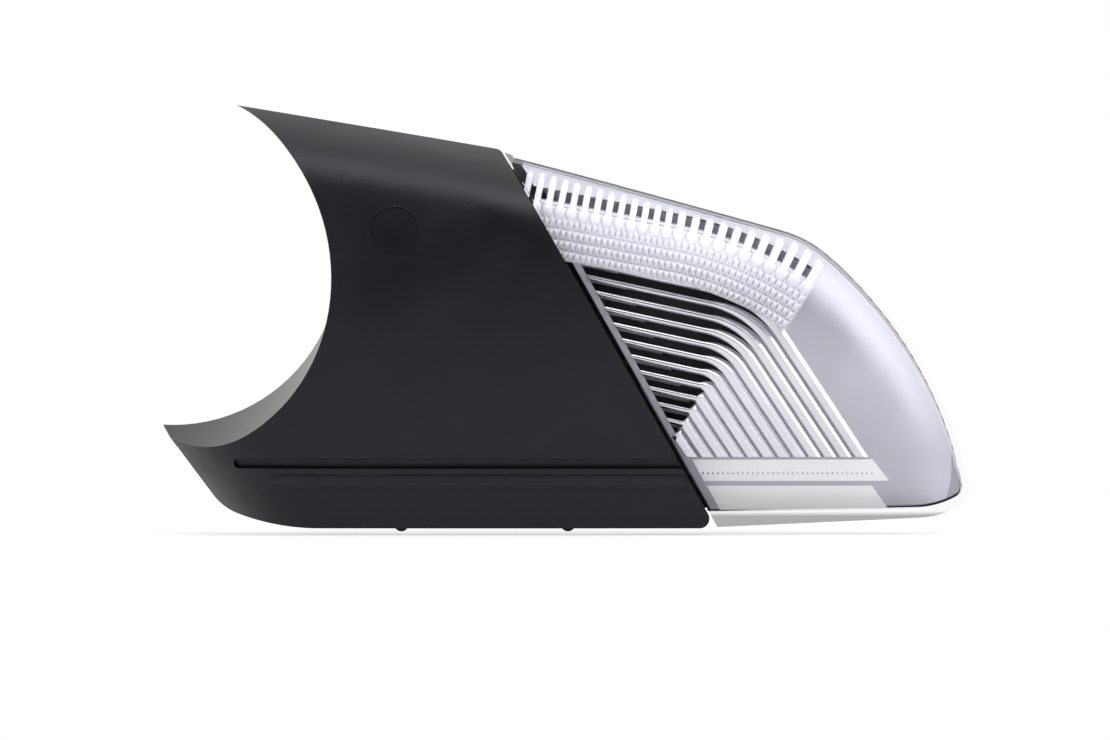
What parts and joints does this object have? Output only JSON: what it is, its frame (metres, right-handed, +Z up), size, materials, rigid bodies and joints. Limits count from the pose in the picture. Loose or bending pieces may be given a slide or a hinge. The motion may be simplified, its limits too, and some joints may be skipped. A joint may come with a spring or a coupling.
{
  "type": "door-mirror indicator lamp",
  "caption": "Side indicator lamp for a door mirror: black carrier with a half-round pivot cut-out, clear lens, ribbed bright reflector and toothed light guide.",
  "frame": {"origin": "midway between the two fixing bosses, on the rear plane", "axes": "+X towards the lens end, +Y out of the back, +Z up; the face looks along -Y"},
  "size_m": [0.1877, 0.0455, 0.0988],
  "materials": {
    "carrier_black": "fine moulded grain, satin",
    "cover_black": "smooth moulded",
    "lens_clear": "polished clear plastic",
    "guide_clear": "polished clear plastic",
    "bright_coat": "vacuum-metallised",
    "seal_rubber": "matte",
    "board_green": "solder mask",
    "led_white": "moulded package",
    "chip_black": "matte",
    "can_metal": "satin",
    "terminal_metal": "tinned",
    "screw_steel": "zinc plated",
    "membrane_white": "matte"
  },
  "bodies": {
    "root": {"housing": "carrier_black", "lens": "lens_clear", "rear_cover": "cover_black", "lens_seal": "seal_rubber", "light_guide": "guide_clear", "reflector": "bright_coat", "circuit_board": "board_green", "led_1": "led_white", "led_2": "led_white", "led_3": "led_white", "led_4": "led_white", "series_resistors": "chip_black", "reverse_diode": "chip_black", "filter_capacitor": "can_metal", "terminal_plus": "terminal_metal", "terminal_minus": "terminal_metal", "vent_membrane": "membrane_white", "vent_cap": "cover_black", "socket_seal": "seal_rubber", "cover_screws": "screw_steel", "reflector_screws": "screw_steel", "board_screws": "screw_steel"}
  },
  "joints": []
}
